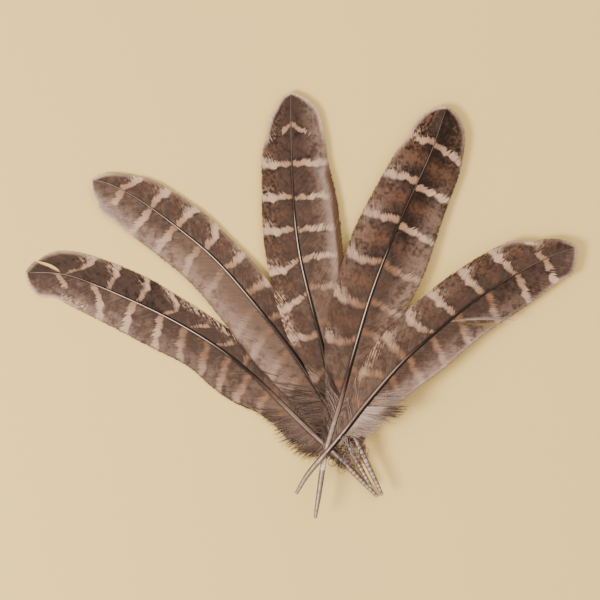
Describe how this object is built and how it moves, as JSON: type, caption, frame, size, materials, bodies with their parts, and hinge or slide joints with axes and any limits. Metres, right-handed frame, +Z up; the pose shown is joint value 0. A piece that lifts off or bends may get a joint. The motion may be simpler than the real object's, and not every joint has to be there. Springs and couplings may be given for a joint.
{
  "type": "fan of quill feathers",
  "caption": "Uncut barred wing quills laid as a loose fan, turning on one upright axis where their hollow barrels cross.",
  "frame": {"origin": "middle of the fan's own box, on the surface that it lies on", "axes": "+Z up from the table, +X across the fan to the tip of the far right quill, +Y away from the barrels to the middle quill's tip"},
  "size_m": [0.2303, 0.1777, 0.0141],
  "materials": {
    "shaft": "satin",
    "leading_vane": "matte",
    "trailing_vane": "matte",
    "down": "matte",
    "pith": "matte"
  },
  "bodies": {
    "far_left": {"far_left_shaft": "shaft", "far_left_leading_vane": "leading_vane", "far_left_trailing_vane": "trailing_vane", "far_left_leading_down": "down", "far_left_trailing_down": "down", "far_left_pith": "pith"},
    "left": {"left_shaft": "shaft", "left_leading_vane": "leading_vane", "left_trailing_vane": "trailing_vane", "left_leading_down": "down", "left_trailing_down": "down", "left_pith": "pith"},
    "centre": {"centre_shaft": "shaft", "centre_leading_vane": "leading_vane", "centre_trailing_vane": "trailing_vane", "centre_leading_down": "down", "centre_trailing_down": "down", "centre_pith": "pith"},
    "right": {"right_shaft": "shaft", "right_leading_vane": "leading_vane", "right_trailing_vane": "trailing_vane", "right_leading_down": "down", "right_trailing_down": "down", "right_pith": "pith"},
    "far_right": {"far_right_shaft": "shaft", "far_right_leading_vane": "leading_vane", "far_right_trailing_vane": "trailing_vane", "far_right_leading_down": "down", "far_right_trailing_down": "down", "far_right_pith": "pith"}
  },
  "joints": [
    {"name": "left_turn", "type": "hinge", "parent": "far_left", "child": "left", "pos_m": [0.0134, -0.0558, 0.004], "axis": [0, 0, 1], "range_deg": [-20, 18]},
    {"name": "centre_turn", "type": "hinge", "parent": "far_left", "child": "centre", "pos_m": [0.0134, -0.0558, 0.007], "axis": [0, 0, 1], "range_deg": [-25, 54]},
    {"name": "right_turn", "type": "hinge", "parent": "far_left", "child": "right", "pos_m": [0.0134, -0.0558, 0.01], "axis": [0, 0, 1], "range_deg": [-30, 79]},
    {"name": "far_right_turn", "type": "hinge", "parent": "far_left", "child": "far_right", "pos_m": [0.0134, -0.0558, 0.013], "axis": [0, 0, 1], "range_deg": [-35, 112]}
  ]
}
